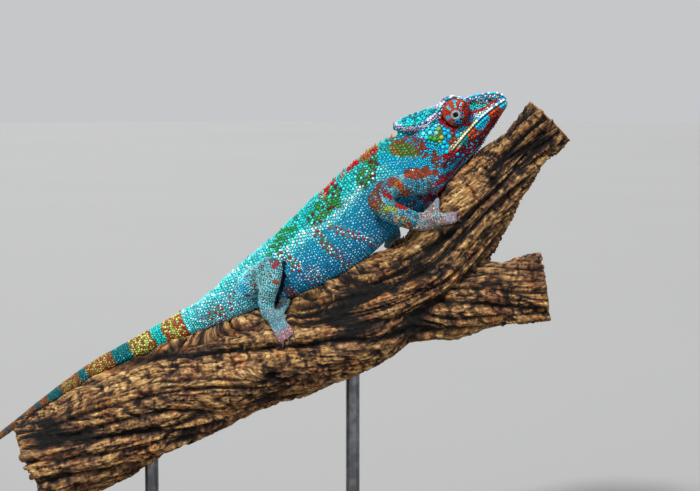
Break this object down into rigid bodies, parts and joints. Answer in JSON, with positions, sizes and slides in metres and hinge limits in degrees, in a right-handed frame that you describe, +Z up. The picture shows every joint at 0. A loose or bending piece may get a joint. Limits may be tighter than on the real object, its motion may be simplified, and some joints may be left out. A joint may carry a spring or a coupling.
{
  "type": "chameleon model",
  "caption": "Life-size panther chameleon climbing a forked length of branch, held by two rods on a flat base.",
  "frame": {"origin": "centre of the base's underside", "axes": "+Z up; the animal's head is towards +X and its right flank towards -Y"},
  "size_m": [0.3597, 0.15, 0.2942],
  "materials": {
    "skin": "scaled skin, turquoise with green, red and gold marks, slight sheen",
    "turret": "finely scaled orange-red skin with blue rays",
    "eyeball": "wet gloss",
    "claw": "smooth horn",
    "bark": "dry, rough, fissured, weathered vine wood",
    "stand_base": "dark stained, satin",
    "stand_rod": "black satin"
  },
  "bodies": {
    "root": {"stand_base": "stand_base", "stand_rod_1": "stand_rod", "stand_rod_2": "stand_rod", "perch": "bark", "head": "skin", "lower_jaw": "skin", "eye_turret_right": "turret", "eyeball_right": "eyeball", "eye_turret_left": "turret", "eyeball_left": "eyeball", "neck": "skin", "trunk": "skin", "tail_base": "skin", "tail_middle": "skin", "tail_end": "skin", "tail_tip": "skin", "front_right_upper_arm": "skin", "front_right_forearm": "skin", "front_right_foot": "skin", "front_right_claw_1": "claw", "front_right_claw_2": "claw", "front_right_claw_3": "claw", "front_right_claw_4": "claw", "front_right_claw_5": "claw", "front_left_upper_arm": "skin", "front_left_forearm": "skin", "front_left_foot": "skin", "front_left_claw_1": "claw", "front_left_claw_2": "claw", "front_left_claw_3": "claw", "front_left_claw_4": "claw", "front_left_claw_5": "claw", "hind_right_thigh": "skin", "hind_right_shin": "skin", "hind_right_foot": "skin", "hind_right_claw_1": "claw", "hind_right_claw_2": "claw", "hind_right_claw_3": "claw", "hind_right_claw_4": "claw", "hind_right_claw_5": "claw", "hind_left_thigh": "skin", "hind_left_shin": "skin", "hind_left_foot": "skin", "hind_left_claw_1": "claw", "hind_left_claw_2": "claw", "hind_left_claw_3": "claw", "hind_left_claw_4": "claw", "hind_left_claw_5": "claw"}
  },
  "joints": []
}
